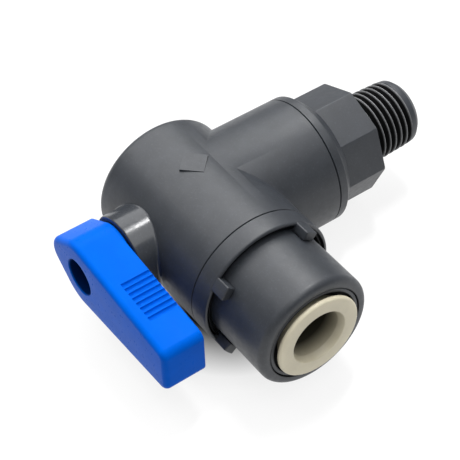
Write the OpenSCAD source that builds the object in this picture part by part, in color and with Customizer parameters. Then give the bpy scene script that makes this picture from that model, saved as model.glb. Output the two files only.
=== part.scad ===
// Push-fit angle ball valve: a tapered threaded inlet along +Y, a push-fit tube
// outlet along +X and a quarter-turn lever on the -Y side. The origin is the
// centre of the ball, where the axes of the two ports cross. The lever lies
// along the outlet, which is the open position.

/* [Body] */
// Outer diameter of the barrel
barrel_d = 26.7; // [26.3:0.1:28]
// Valve centre to the closed rear face of the barrel
barrel_back = 12.9; // [12.8:0.1:15]
// Valve centre to the open end of the barrel
barrel_front = 17.5; // [17:0.1:20]
// Rounding of the closed rear rim
rear_round = 1.6; // [0.6:0.1:2.2]
// Outer diameter of the inlet branch
branch_d = 25.6; // [25:0.1:26]
// Valve centre to the open end of the branch
branch_len = 23.5; // [21:0.5:28]
// Diameter of the stem boss
boss_d = 15.6; // [14:0.1:16]
// Valve centre to the end face of the stem boss
boss_len = 16.5; // [16.2:0.1:19]
// Diagonal of the raised diamond on top of the barrel
pad_diagonal = 6.2; // [4:0.1:8]
// Height of the diamond above the crest of the barrel
pad_rise = 0.1; // [0.05:0.05:0.4]
// Depth of the chamfers that meet at each seam of the housing
seam_chamfer = 0.2; // [0.1:0.05:0.4]

/* [Ball and seats] */
// Diameter of the ball
ball_d = 15.6; // [15.2:0.1:15.8]
// Diameter of the passage through the ball
port_d = 6.4; // [5:0.1:7]
// Outer diameter of the ball seats
seat_d = 11.7; // [11.3:0.1:12]
// Length of the ball seats along their axis
seat_len = 4; // [3.6:0.1:4.2]
// Diameter of the passage through the seats and the inlet adapter
bore_d = 7; // [6.4:0.1:7.6]

/* [Stem and lever] */
// Diameter of the stem where it runs in the boss
stem_d = 7; // [6.6:0.1:7.4]
// Diameter of the stem's inner collar
collar_d = 9.4; // [9:0.1:9.8]
// Thickness of the stem's inner collar
collar_len = 1.35; // [1.1:0.05:1.6]
// Thickness of the thrust washer under the collar
washer_len = 0.6; // [0.4:0.05:0.8]
// Width of the tang that turns the ball
tang_w = 2.4; // [2:0.1:2.8]
// Width of the square that turns the lever
drive_w = 4.2; // [3.8:0.1:4.4]
// Stem axis to the free end of the lever
lever_len = 26.9; // [24:0.1:32]
// Thickness of the lever along the stem axis
lever_thick = 8.3; // [7.6:0.1:9]
// Radius of the lever's hub
hub_r = 7.1; // [6.8:0.1:8]
// Top of the lever's free end above the stem axis
lever_tip_top = 4.3; // [3.6:0.1:5]
// Bottom of the lever's free end below the stem axis
lever_tip_bottom = 5.6; // [5:0.1:6.5]
// Rounding of the lever's outer edges
lever_round = 1.2; // [0.6:0.1:1.5]
// Gap between the boss and the lever
lever_gap = 0.5; // [0.4:0.1:1.2]
// Diameter of the screw hole in the lever
screw_hole_d = 6.9; // [6.4:0.1:7.4]
// Depth of the screw hole in the lever
screw_hole_depth = 4.8; // [4.4:0.1:5]
// Number of grip grooves on the lever
groove_count = 8; // [5:1:9]
// Spacing of the grip grooves
groove_pitch = 1.18; // [1:0.02:1.4]
// Depth of the grip grooves
groove_depth = 0.42; // [0.3:0.02:0.48]

/* [Inlet adapter] */
// Thickness of the adapter's flange
flange_len = 1.7; // [1.4:0.1:3]
// Length of the cone between the flange and the octagon
shoulder_len = 1.9; // [1:0.1:2.5]
// Width across the flats of the octagon
octagon_flats = 20.5; // [19:0.1:22]
// Length of the octagon along the inlet axis, with its cone
octagon_len = 10.4; // [8:0.1:13]
// Turn of the octagon about the inlet axis, as it was welded
octagon_turn = 1.4; // [-22.5:0.1:22.5]
// Diameter over the crests of the tapered pipe thread, halfway along it
thread_d = 13.5; // [12.8:0.1:14]
// Length of the threaded spigot
thread_len = 12.8; // [10:0.1:16]

/* [Tube socket] */
// Outside diameter of the tube that the outlet takes
tube_d = 9.525; // [9.3:0.025:9.7]
// Diametral clearance of the tube in its bore
tube_clearance = 0.115; // [0.08:0.005:0.15]
// Step from the barrel's surface down to the nose
nose_step = 1.95; // [1.7:0.05:2.3]
// Open end of the barrel to the mouth of the nose
nose_len = 17.5; // [17.3:0.1:20]
// Length of the locking ring without its lugs
ring_len = 4; // [3.6:0.1:5]
// How far the lugs stand out of the locking ring
lug_len = 2.8; // [2:0.1:3.5]
// Width of a lug around the ring, in degrees
lug_angle = 12.5; // [10:0.5:16]
// Travel of the collet when it is pressed to free the tube
release_travel = 1.6; // [1:0.1:1.7]
// Number of fingers of the collet
finger_count = 6; // [4:1:8]
// Step from the nose's surface in to the rim of the collet
collet_inset = 3; // [2.9:0.05:3.2]
// How far the collet stands out of the nose
collet_proud = 1.2; // [0.8:0.1:1.6]

/* [Hidden] */
$fn = 96;

// Clearances, and how far joined bars and cuts reach past each other
fit = 0.05;
run = 0.03;
stem_run = 0.1;
step_gap = 0.1;
overcut = 0.5;
overlap = 1;
weld = 0.01;

// Places around the ball: the seats meet the ball on two sides, and the plugs
// that hold them stay outside each other's bore
ball_r = ball_d / 2;
seat_r = seat_d / 2;
ball_gap = 0.15;
inlet_ball_gap = 0.6;
outlet_ball_gap = 0.4;
plug_gap = 0.3;
seat_front = seat_r + ball_gap;
seat_back = seat_front + seat_len;
inlet_chamber_r = ball_r + inlet_ball_gap;
outlet_chamber_r = ball_r + outlet_ball_gap;
plug_front = inlet_chamber_r + plug_gap;
plug_step = 13;
back_gap = 0.5;
chamber_back = ball_r + back_gap;

// Housing
barrel_r = barrel_d / 2;
branch_r = branch_d / 2;
branch_wall = 2.4;
barrel_wall = 2.75;
inlet_bore_r = branch_r - branch_wall;
outlet_bore_r = barrel_r - barrel_wall;
pad_side = pad_diagonal / sqrt(2);
pad_top = barrel_r + pad_rise;

// O-rings
seal_section = 1.56;
stem_seal_section = 1.4;
groove_half = 1;
adapter_seal_inset = 6;
socket_seal_inset = 2.1;
adapter_seal_place = branch_len - adapter_seal_inset;
socket_seal_place = barrel_front - socket_seal_inset;

// Stem, measured from the valve centre towards the lever
stem_r = stem_d / 2;
stem_bore_r = stem_r + stem_run;
collar_r = collar_d / 2;
collar_front = ball_r + ball_gap;
collar_back = collar_front + collar_len;
washer_back = collar_back + washer_len;
floor_gap = 0.8;
chamber_floor = ball_r + floor_gap;
collar_gap = 0.3;
recess_r = collar_r + collar_gap;
tang_len = 2.1;
tang_span = 8;
seal_land = 1.2;
stem_seal_pitch = 2.6;
lever_in = boss_len + lever_gap;
lever_out = lever_in + lever_thick;
hub_collar_gap = 0.2;
hub_edge = 0.3;
web_out = lever_out - screw_hole_depth;
web_len = 1.1;
drive_end = web_out - web_len;
drive_start = boss_len + step_gap;

// Lever outline, in the plane across the stem axis
heel_r = 3.5;
heel_back = 5.9;
heel_up = 0.6;
tip_corner_r = 1.7;
tip_along = lever_len - tip_corner_r;
tip_up = lever_tip_top - tip_corner_r;
top_slope = atan2(tip_up, tip_along) - asin((hub_r - tip_corner_r) / norm([tip_along, tip_up]));
groove_first = 10.3;
groove_margin = 2.4;

// Lever screw
screw_r = 1.15;
pilot_r = 1.2;
pilot_end_gap = 0.5;
screw_hole_gap = 0.2;
screw_head_r = 2.8;
screw_head_len = 1.6;
screw_head_round = 0.8;
cross_len = 3;
cross_w = 0.6;
cross_depth = 0.9;
screw_len = 6;

// Inlet adapter, measured from the valve centre along the branch
flange_end = branch_len + flange_len;
octagon_end = flange_end + octagon_len;
thread_end = octagon_end + thread_len;
octagon_corner_r = octagon_flats / 2 / cos(22.5);
octagon_bevel = 0.15;
flange_round = 0.25;
thread_r = thread_d / 2;
lead_len = 1.4;
lead_drop = 1.3;

// Tube socket, measured from the valve centre along the outlet
nose_r = barrel_r - nose_step;
nose_end = barrel_front + nose_len;
nose_round = 1.3;
tube_bore_r = (tube_d + tube_clearance) / 2;
tube_stop_len = 0.5;
tube_stop = plug_step + tube_stop_len;
seal_seat_inset = 2;
seal_seat = barrel_front + seal_seat_inset;
seal_room = 1.75;
backup_len = 1.1;
seal_pinch = 0.02;
washer_run = 0.08;
washer_front = seal_seat + seal_room + backup_len;
cage_back = washer_front + fit;
nose_wall = 1.95;
cage_bore_r = nose_r - nose_wall;
seal_bore_r = tube_bore_r + seal_section;
socket_flange_inset = 0.95;
socket_flange_len = 1.8;
socket_flange_r = barrel_r - socket_flange_inset;
socket_flange_end = barrel_front + socket_flange_len;

// Locking ring
ring_end = barrel_front + ring_len;
ring_gap = 0.6;
ring_lip_r = nose_r + ring_gap;
ring_round = 0.6;
ring_recess = 0.3;
ring_band = 0.65;
ring_groove_depth = 1;
lug_places = [55, 145, 216, 325];
lug_root = 1.2;
lug_gap = 0.15;
lug_inner_r = nose_r + lug_gap;
lug_outer_r = barrel_r - fit;

// Collet and its cage
cage_r = cage_bore_r - fit;
cage_chamfer = 0.2;
collet_run = 0.1;
sleeve_r = (tube_bore_r + cage_bore_r) / 2 - 0.2;
cage_hole_r = sleeve_r + collet_run;
collet_flange_r = nose_r - collet_inset;
pocket_gap = 0.2;
pocket_r = collet_flange_r + pocket_gap;
collet_end = nose_end + collet_proud;
collet_flange_len = 0.95;
flange_back = collet_end - collet_flange_len;
pocket_floor = flange_back - release_travel - collet_run;
cage_end = nose_end - collet_run;
cone_inset = 0.75;
cone_len = 4.2;
cone_back = cage_back + cone_inset;
cone_front = cone_back + cone_len;
cone_back_r = cage_hole_r + cone_inset;
finger_inset = 2.15;
finger_end = cage_back + finger_inset;
finger_gap = 0.12;
finger_slot_w = 0.9;
finger_slot_len = 6;
collet_bore_gap = 0.13;
collet_bore_r = tube_bore_r + collet_bore_gap;
collet_mouth_flare = 0.55;
collet_mouth_r = collet_bore_r + collet_mouth_flare;
collet_mouth_len = 1.3;
collet_lip = 0.45;
teeth_inset = 1;
teeth_place = finger_end + teeth_inset;
teeth_len = 0.6;
teeth_lean = 0.5;
teeth_edge = 0.25;
teeth_cover = 0.7;
teeth_root_r = sleeve_r - teeth_cover;
teeth_tip_r = tube_bore_r + fit;

// Colours
slate = [0.33, 0.35, 0.37];
cream = [0.83, 0.80, 0.71];
lever_blue = [0.05, 0.36, 0.85];
fluoropolymer = [0.93, 0.93, 0.90];
seal_black = [0.08, 0.08, 0.08];
steel = [0.72, 0.72, 0.74];

// Turns a shape drawn upwards so that it points along one of the valve's axes
module to_outlet() rotate([0, 90, 0]) children();
module to_inlet() rotate([-90, 0, 0]) children();
module to_lever() rotate([90, 0, 0]) children();

module bar(r, from, to) translate([0, 0, from]) cylinder(r = r, h = to - from);

module cone(r1, r2, from, to) translate([0, 0, from]) cylinder(r1 = r1, r2 = r2, h = to - from);

module tube(r, hole_r, from, to) {
    difference() {
        bar(r, from, to);
        bar(hole_r, from - overcut, to + overcut);
    }
}

// Bar whose upper rim is rounded to the given radius
module rounded_bar(r, round, from, to) {
    bar(r, from, to - round);
    bar(r - round, from, to);
    translate([0, 0, to - round])
        rotate_extrude()
            translate([r - round, 0])
                circle(r = round, $fn = 48);
}

module o_ring(inner_r, section, middle) {
    translate([0, 0, middle])
        rotate_extrude()
            translate([inner_r + section / 2, 0])
                circle(d = section, $fn = 48);
}

// Cut for an O-ring round a plug of radius r
module seal_groove(r, middle)
    tube(r + overcut, r - seal_section, middle - groove_half, middle + groove_half);

// Ring of soft plastic with a hollow that the ball turns in
module ball_seat() {
    difference() {
        tube(seat_r, bore_d / 2, seat_front, seat_back);
        sphere(r = ball_r + run);
    }
}

// Housing: barrel, inlet branch and stem boss in one moulding
module body() {
    color(slate)
        difference() {
            union() {
                mirror([1, 0, 0])
                    to_outlet()
                        rounded_bar(barrel_r, rear_round, 0, barrel_back);
                to_outlet() {
                    bar(barrel_r, 0, barrel_front - seam_chamfer);
                    cone(barrel_r, barrel_r - seam_chamfer, barrel_front - seam_chamfer, barrel_front);
                }
                to_inlet() {
                    bar(branch_r, 0, branch_len - seam_chamfer);
                    cone(branch_r, branch_r - seam_chamfer, branch_len - seam_chamfer, branch_len);
                }
                to_lever() bar(boss_d / 2, 0, boss_len);
                translate([0, 0, pad_top / 2])
                    rotate(45)
                        cube([pad_side, pad_side, pad_top], center = true);
            }
            to_outlet() {
                bar(outlet_chamber_r, -chamber_back, plug_step + overcut);
                bar(outlet_bore_r, plug_step, barrel_front + overcut);
            }
            to_inlet() {
                bar(inlet_chamber_r, -chamber_floor, plug_step + overcut);
                bar(inlet_bore_r, plug_step, branch_len + overcut);
            }
            to_lever() {
                bar(recess_r, chamber_floor - overcut, washer_back);
                bar(stem_bore_r, washer_back - overcut, boss_len + overcut);
            }
        }
}

// Plug, flange, octagon and threaded spigot of the inlet. The spigot is plain
// here, at the middle diameter of its thread
module inlet_adapter() {
    color(slate)
        to_inlet()
            difference() {
                union() {
                    bar(inlet_chamber_r - fit, plug_front, plug_step + overlap);
                    bar(inlet_bore_r - fit, plug_step + step_gap, branch_len + weld);
                    cone(branch_r - seam_chamfer, branch_r, branch_len, branch_len + seam_chamfer);
                    rounded_bar(branch_r, flange_round, branch_len + seam_chamfer, flange_end);
                    cone(branch_r - flange_round, octagon_corner_r - octagon_bevel,
                         flange_end, flange_end + shoulder_len);
                    rotate(octagon_turn)
                        intersection() {
                            translate([0, 0, flange_end])
                                cylinder(r = octagon_corner_r, h = octagon_len, $fn = 8);
                            cone(octagon_corner_r + octagon_len - octagon_bevel,
                                 octagon_corner_r - octagon_bevel, flange_end, octagon_end);
                        }
                    bar(thread_r, octagon_end - overlap, thread_end - lead_len);
                    cone(thread_r, thread_r - lead_drop, thread_end - lead_len, thread_end);
                }
                bar(seat_r + fit, plug_front - overcut, seat_back);
                bar(bore_d / 2, seat_back - overcut, thread_end + overcut);
                seal_groove(inlet_bore_r, adapter_seal_place);
            }
}

module adapter_seal() {
    color(seal_black)
        to_inlet() o_ring(inlet_bore_r - seal_section, seal_section - fit, adapter_seal_place);
}

module inlet_seat() {
    color(fluoropolymer) to_inlet() ball_seat();
}

module outlet_seat() {
    color(fluoropolymer) to_outlet() ball_seat();
}

// Ball with an elbow passage: the inlet stays open along the stem axis, and the
// side port meets the outlet or turns away from it
module ball() {
    color(steel)
        difference() {
            sphere(r = ball_r);
            sphere(d = port_d);
            to_inlet() bar(port_d / 2, 0, ball_r + overcut);
            to_outlet() bar(port_d / 2, 0, ball_r + overcut);
            translate([-ball_r, -ball_r - overcut, -tang_w / 2 - fit])
                cube([ball_d, tang_len + overcut + fit, tang_w + 2 * fit]);
        }
}

// Stem: tang in the ball, collar that can't be blown out, two seal grooves,
// a square for the lever and a pilot hole for its screw
module stem() {
    color(slate)
        to_lever()
            difference() {
                union() {
                    intersection() {
                        translate([-tang_span / 2, -tang_w / 2, ball_r - tang_len])
                            cube([tang_span, tang_w, tang_len + collar_len]);
                        bar(tang_span / 2, 0, boss_len);
                    }
                    bar(collar_r, collar_front, collar_back);
                    bar(stem_r, collar_front, drive_start);
                    translate([-drive_w / 2, -drive_w / 2, drive_start - overlap])
                        cube([drive_w, drive_w, drive_end - drive_start + overlap]);
                }
                for (i = [0, 1])
                    tube(stem_r + overcut, stem_bore_r - stem_seal_section,
                         stem_seal_place(i) - stem_seal_section / 2 - fit,
                         stem_seal_place(i) + stem_seal_section / 2 + fit);
                bar(pilot_r, drive_end - screw_len, drive_end + overcut);
            }
}

function stem_seal_place(i) = washer_back + seal_land + i * stem_seal_pitch;

module stem_washer() {
    color(fluoropolymer) to_lever() tube(collar_r, stem_bore_r, collar_back, washer_back);
}

module stem_seal(i) {
    color(seal_black)
        to_lever()
            o_ring(stem_bore_r - stem_seal_section + run, stem_seal_section - 2 * run, stem_seal_place(i));
}

module inner_stem_seal() {
    stem_seal(0);
}

module outer_stem_seal() {
    stem_seal(1);
}

// Thick plate with rounded edges, as one corner of the lever
module lever_corner(r, along, up) {
    side = min(lever_round, r - 0.05);
    translate([along, -lever_out, up])
        rotate([-90, 0, 0]) {
            translate([0, 0, side])
                cylinder(r = r, h = lever_thick - side - hub_edge, $fn = 48);
            cylinder(r = r - hub_edge, h = lever_thick, $fn = 48);
            for (a = [22.5, 45, 67.5])
                translate([0, 0, side * (1 - sin(a))])
                    cylinder(r = r - side * (1 - cos(a)), h = 1, $fn = 48);
            cylinder(r = r - side, h = 1, $fn = 48);
        }
}

// Lever: tapered handle with a heeled hub, a collar towards the boss, grip
// grooves on top and a deep hole for its screw
module lever() {
    color(lever_blue)
        difference() {
            union() {
                hull() {
                    lever_corner(hub_r, 0, 0);
                    lever_corner(heel_r, -heel_back, heel_up);
                    lever_corner(tip_corner_r, tip_along, tip_up);
                    lever_corner(tip_corner_r, tip_along, tip_corner_r - lever_tip_bottom);
                }
                to_lever() bar(hub_r - hub_edge, boss_len + hub_collar_gap, lever_in + overlap);
            }
            rotate([0, -top_slope, 0])
                for (i = [0 : groove_count - 1])
                    translate([groove_first + i * groove_pitch, groove_margin - lever_out, hub_r])
                        rotate([-90, 0, 0])
                            cylinder(r = groove_depth, h = lever_thick, $fn = 24);
            to_lever() {
                bar(screw_hole_d / 2, web_out, lever_out + overcut);
                bar(pilot_r + screw_hole_gap, drive_end - overcut, web_out + overcut);
                translate([-drive_w / 2 - fit, -drive_w / 2 - fit, boss_len])
                    cube([drive_w + 2 * fit, drive_w + 2 * fit, drive_end - boss_len + fit]);
            }
        }
}

// Pan-head screw with a cross recess that holds the lever on the stem
module lever_screw() {
    color(steel)
        to_lever()
            difference() {
                union() {
                    bar(screw_r, drive_end - screw_len + pilot_end_gap, web_out + step_gap);
                    rounded_bar(screw_head_r, screw_head_round, web_out, web_out + screw_head_len);
                }
                for (a = [45, 135])
                    rotate(a)
                        translate([-cross_len / 2, -cross_w / 2, web_out + screw_head_len - cross_depth])
                            cube([cross_len, cross_w, screw_head_len]);
            }
}

// Push-fit socket: plug in the barrel, flange under the locking ring, nose,
// tube stop and the stepped cavities for the seal, washer and cage
module tube_socket() {
    color(slate)
        to_outlet()
            difference() {
                union() {
                    bar(outlet_chamber_r - fit, plug_front, plug_step + overlap);
                    bar(outlet_bore_r - fit, plug_step + step_gap, barrel_front + overcut);
                    bar(socket_flange_r, barrel_front, socket_flange_end);
                    rounded_bar(nose_r, nose_round, barrel_front, nose_end);
                }
                bar(seat_r + fit, plug_front - overcut, seat_back);
                bar(bore_d / 2, seat_back - overcut, tube_stop + overcut);
                bar(tube_bore_r, tube_stop, seal_seat + overcut);
                bar(seal_bore_r, seal_seat, cage_back + overcut);
                bar(cage_bore_r, cage_back, nose_end + overcut);
                seal_groove(outlet_bore_r, socket_seal_place);
            }
}

module socket_seal() {
    color(seal_black)
        to_outlet() o_ring(outlet_bore_r - seal_section, seal_section - fit, socket_seal_place);
}

// Ring welded to the barrel's end, with lugs that stand out along the nose
module locking_ring() {
    color(slate)
        to_outlet() {
            difference() {
                union() {
                    cone(barrel_r - seam_chamfer, barrel_r, barrel_front, barrel_front + seam_chamfer);
                    rounded_bar(barrel_r, ring_round, barrel_front + seam_chamfer, ring_end);
                }
                bar(socket_flange_r + fit, barrel_front - overcut, socket_flange_end + step_gap);
                bar(ring_lip_r, barrel_front, ring_end + overcut);
                bar(socket_flange_r, ring_end - ring_recess, ring_end + overcut);
                tube(barrel_r - ring_band, socket_flange_r - fit,
                     ring_end - ring_groove_depth, ring_end + overcut);
            }
            for (a = lug_places)
                rotate(a + 90)
                    locking_lug();
        }
}

module locking_lug() {
    half = lug_angle / 2;
    reach = 2 * barrel_r;
    intersection() {
        union() {
            tube(lug_outer_r, ring_lip_r - weld, ring_end - lug_root, ring_end + lug_len);
            tube(ring_lip_r, lug_inner_r, ring_end - lug_root / 2, ring_end + lug_len);
        }
        translate([0, 0, ring_end - lug_root])
            linear_extrude(lug_len + lug_root)
                polygon([[0, 0], [reach * cos(half), -reach * sin(half)],
                         [reach * cos(half), reach * sin(half)]]);
    }
}

module tube_seal() {
    color(seal_black)
        to_outlet()
            o_ring(tube_bore_r - seal_pinch, seal_section, seal_seat + seal_section / 2 + fit);
}

module backup_washer() {
    color(fluoropolymer)
        to_outlet() tube(seal_bore_r - fit, tube_bore_r + washer_run, washer_front - backup_len, washer_front);
}

// Cage pressed into the nose: its cone closes the collet's fingers on the tube
module collet_cage() {
    color(slate)
        to_outlet()
            difference() {
                union() {
                    bar(cage_r, cage_back, cage_end - cage_chamfer);
                    cone(cage_r, cage_r - cage_chamfer, cage_end - cage_chamfer, cage_end);
                }
                bar(cone_back_r, cage_back - overcut, cone_back);
                cone(cone_back_r, cage_hole_r, cone_back, cone_front);
                bar(cage_hole_r, cone_front - weld, cage_end + overcut);
                bar(pocket_r, pocket_floor, cage_end + overcut);
            }
}

// Release collet: rounded flange, sleeve and slotted fingers
module collet() {
    color(cream)
        to_outlet()
            difference() {
                union() {
                    bar(sleeve_r, cone_front, flange_back + collet_flange_len / 2);
                    cone(cage_cone_r(finger_end) - finger_gap, sleeve_r,
                         finger_end, cone_front + weld);
                    rounded_bar(collet_flange_r, collet_lip, flange_back, collet_end);
                }
                bar(collet_bore_r, finger_end - overcut, collet_end + overcut);
                cone(collet_bore_r, collet_mouth_r, collet_end - collet_mouth_len, collet_end);
                bar(teeth_root_r, teeth_place - teeth_lean, teeth_place + teeth_len);
                for (i = [0 : finger_count - 1])
                    rotate(i * 360 / finger_count)
                        translate([0, -finger_slot_w / 2, finger_end - overcut])
                            cube([nose_r, finger_slot_w, finger_slot_len + overcut]);
            }
}

function cage_cone_r(place) =
    cone_back_r + (cage_hole_r - cone_back_r) * (place - cone_back) / (cone_front - cone_back);

// Steel teeth in the fingers, leaning inwards so that they bite when the tube
// is pulled
module grip_teeth() {
    color(steel)
        to_outlet()
            difference() {
                rotate_extrude()
                    polygon([[teeth_tip_r, teeth_place - teeth_lean],
                             [teeth_root_r - fit, teeth_place],
                             [teeth_root_r - fit, teeth_place + teeth_len],
                             [teeth_tip_r, teeth_place - teeth_lean + teeth_edge]]);
                for (i = [0 : finger_count - 1])
                    rotate(i * 360 / finger_count)
                        translate([0, -finger_slot_w / 2 - fit, finger_end])
                            cube([nose_r, finger_slot_w + 2 * fit, finger_slot_len]);
            }
}

body();
inlet_adapter();
adapter_seal();
inlet_seat();
ball();
outlet_seat();
stem();
stem_washer();
inner_stem_seal();
outer_stem_seal();
lever();
lever_screw();
tube_socket();
socket_seal();
locking_ring();
tube_seal();
backup_washer();
collet_cage();
collet();
grip_teeth();
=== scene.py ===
"""Looks of the push-fit angle ball valve, built on its packed CAD model.

Laid out as an add-on: the sizes and finishes are properties of the scene, each group of
pieces has its operator, and the panel lists them. Lengths are metres, in the frame of the
CAD model: the outlet points along +X, the threaded inlet along +Y and the lever is on -Y.
"""

import math

import bmesh
import bpy
from mathutils import Matrix, Vector


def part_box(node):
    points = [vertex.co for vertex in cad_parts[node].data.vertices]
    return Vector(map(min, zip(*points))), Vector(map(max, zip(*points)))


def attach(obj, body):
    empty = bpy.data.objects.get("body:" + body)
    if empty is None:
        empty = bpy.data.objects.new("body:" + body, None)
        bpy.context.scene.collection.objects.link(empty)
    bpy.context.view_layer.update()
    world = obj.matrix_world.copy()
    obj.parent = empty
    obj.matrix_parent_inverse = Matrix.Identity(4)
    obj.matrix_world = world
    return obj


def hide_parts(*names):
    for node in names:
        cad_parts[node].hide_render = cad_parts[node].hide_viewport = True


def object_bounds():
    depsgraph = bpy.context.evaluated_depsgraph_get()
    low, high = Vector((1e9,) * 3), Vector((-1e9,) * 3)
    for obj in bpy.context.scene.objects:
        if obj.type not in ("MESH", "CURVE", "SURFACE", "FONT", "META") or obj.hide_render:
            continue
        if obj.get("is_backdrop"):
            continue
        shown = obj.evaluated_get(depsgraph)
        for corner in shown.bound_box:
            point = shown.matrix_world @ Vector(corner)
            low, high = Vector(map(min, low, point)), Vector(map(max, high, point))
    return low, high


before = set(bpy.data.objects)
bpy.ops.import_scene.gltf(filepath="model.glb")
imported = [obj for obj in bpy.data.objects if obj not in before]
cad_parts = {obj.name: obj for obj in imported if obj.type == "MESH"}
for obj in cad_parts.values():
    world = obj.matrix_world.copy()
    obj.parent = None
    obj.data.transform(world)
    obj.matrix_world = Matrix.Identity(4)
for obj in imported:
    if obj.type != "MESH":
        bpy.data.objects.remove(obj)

bl_info = {
    "name": "Push-fit angle valve looks",
    "version": (1, 0, 0),
    "blender": (4, 5, 0),
    "location": "3D View > Sidebar > Valve",
    "description": "Dresses the valve's CAD solids with moulded pieces and plastic finishes",
    "category": "Object",
}

MM = 0.001
Z = Vector((0, 0, 1))
OUTLET, INLET, LEVER = "outlet", "inlet", "lever"
FINISHES = {}

# Inner sizes of the CAD model that the visible pieces follow, from the ball's centre
SEAT_RADIUS, SEAT_FLOOR = 5.9 * MM, 10 * MM
PLUG_END, PLUG_STEP = 8.7 * MM, 13.1 * MM
PASSAGE_RADIUS = 3.5 * MM
STEM_HOLE, BOSS_ROOT = 3.6 * MM, 10.4 * MM
TUBE_RADIUS, TUBE_STOP = 4.82 * MM, 13.5 * MM
SEAL_RADIUS, SEAL_FLOOR = 6.38 * MM, 19.5 * MM
CAGE_START, CONE_START, CONE_END = 22.4 * MM, 23.15 * MM, 27.35 * MM
FINGER_RADIUS, FINGER_END = 4.95 * MM, 24.55 * MM
FINGERS = 6
SMALL_ROUND = 0.12 * MM

# Axis, radius, start and end of the bores in the housing, in millimetres
HOUSING_BORES = [
    (OUTLET, 8.2, -8.3, 18),
    (OUTLET, 10.6, 13, 18),
    (INLET, 8.4, -8.6, 24),
    (INLET, 10.4, 13, 24),
    (LEVER, 5, 8, 9.9),
    (LEVER, 3.6, 9, 17),
]

# The thread: turns before trimming, steps in a turn, and the flat edge beside the crest
THREAD_TURNS, THREAD_STEPS, CREST_DROP = 12, 96, 0.07 * MM

# Angles of the locking ring's lugs about the outlet's axis, in degrees
LUG_ANGLES = (55, 145, 216, 325)

# Range that most of a noise texture's values lie in
NOISE_LOW, NOISE_HIGH = 0.3, 0.7

# The valve's footprint on the floor, where the floor's glow fades into a painted shadow under
# # the valve: scale and offset that make its edge about one
FOOTPRINT_SCALE, FOOTPRINT_OFFSET = (45, 45, 0), (-0.45, 0, 0)
FOOTPRINT_CORE = 0.4

# Name, place, size and power in watts of the soft lights, which point at the ball
SOFTBOXES = [
    ("top_softbox", (0.10, 0.02, 0.58), (0.50, 0.60), 2.2),
    ("left_panel", (-0.44, 0.05, 0.48), (0.95, 0.42), 3.7),
    ("branch_softbox", (-0.10, 0.16, 0.46), (0.05, 0.16), 1.05),
]

# The sky: heights of its dark and its white end, and its darkest and lightest grey
SKY_RAMP = {"From Min": -0.35, "From Max": 0.75, "To Min": 0.10, "To Max": 1.0}


# Sizes and finishes


def length(name, description, millimetres):
    """Property for one length, whose default is given in millimetres."""
    return bpy.props.FloatProperty(
        name=name, description=description, default=millimetres * MM, unit="LENGTH", precision=5
    )


def colour(name, description, red, green, blue):
    """Property for one colour, in linear light."""
    return bpy.props.FloatVectorProperty(
        name=name,
        description=description,
        default=(red, green, blue),
        subtype="COLOR",
        min=0,
        max=1,
    )


def share(name, description, value):
    """Property for a number from 0 to 1."""
    return bpy.props.FloatProperty(
        name=name, description=description, default=value, min=0, max=1, subtype="FACTOR"
    )


def number(name, description, value, low=None):
    """Property for a plain number, with a lowest value where one is given."""
    limits = {} if low is None else {"min": low}
    return bpy.props.FloatProperty(name=name, description=description, default=value, **limits)


def bearing(name, description, degrees):
    """Property for one angle, whose default is given in degrees."""
    return bpy.props.FloatProperty(
        name=name, description=description, default=math.radians(degrees), subtype="ANGLE"
    )


class HousingSizes(bpy.types.PropertyGroup):
    """Barrel, branch and boss of the housing"""

    barrel_radius: length("Barrel radius", "Outer radius of the barrel", 13.35)
    barrel_front: length("Barrel front", "Ball centre to the open end of the barrel", 17.5)
    barrel_back: length("Barrel back", "Ball centre to the closed end of the barrel", 12.9)
    rear_round: length("Rear rounding", "Rounding of the closed rear rim", 1.6)
    branch_radius: length("Branch radius", "Outer radius of the inlet branch", 12.8)
    branch_length: length("Branch length", "Ball centre to the end of the branch", 23.5)
    boss_radius: length("Boss radius", "Outer radius of the stem boss", 7.8)
    boss_length: length("Boss length", "Ball centre to the end face of the boss", 16.5)
    seam_chamfer: length("Seam chamfer", "Half width of the grooves at the welded seams", 0.15)
    seam_depth: length("Seam depth", "Depth of the grooves at the welded seams", 0.34)
    crease_fillet: length("Crease fillet", "Fillet between the barrel and the branch", 0.45)
    boss_fillet: length("Boss fillet", "Fillet at the root of the boss", 0.5)
    pad_diagonal: length("Diamond", "Diagonal of the raised diamond", 6.2)
    pad_rise: length("Diamond rise", "Height of the diamond above the barrel's crest", 0.1)


class InletSizes(bpy.types.PropertyGroup):
    """Flange, octagon and thread of the inlet fitting"""

    flange_length: length("Flange", "Thickness of the flange", 1.7)
    flange_round: length("Flange rounding", "Rounding of the flange's front rim", 0.35)
    shoulder_length: length("Shoulder", "Length of the cone from the flange to the octagon", 1.9)
    octagon_flats: length("Octagon", "Width across the flats", 20.5)
    octagon_length: length("Octagon length", "Length of the octagon with its cone", 10.4)
    octagon_turn: bearing(
        "Octagon turn", "Turn of the octagon about the inlet axis, as it was welded", 1.4
    )
    octagon_edge: length("Octagon edges", "Width of the bevel along the long edges", 0.12)
    octagon_chamfer: length("Octagon chamfer", "How far the end's cone cuts the corners", 0.12)
    thread_length: length("Spigot", "Length of the threaded spigot", 12.8)
    thread_crest: length("Thread crest", "Crest radius next to the octagon", 7.1)
    thread_depth: length("Thread depth", "Depth of the thread", 1.1)
    thread_taper: number("Thread taper", "Loss of radius along the thread", 0.036, low=0)
    thread_pitch: length("Thread pitch", "Spacing of the thread's crests", 1.411)
    lead_length: length("Lead", "Length of the plain lead ring", 2.3)
    bore_radius: length("Bore", "Radius of the passage", 3.5)


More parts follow.
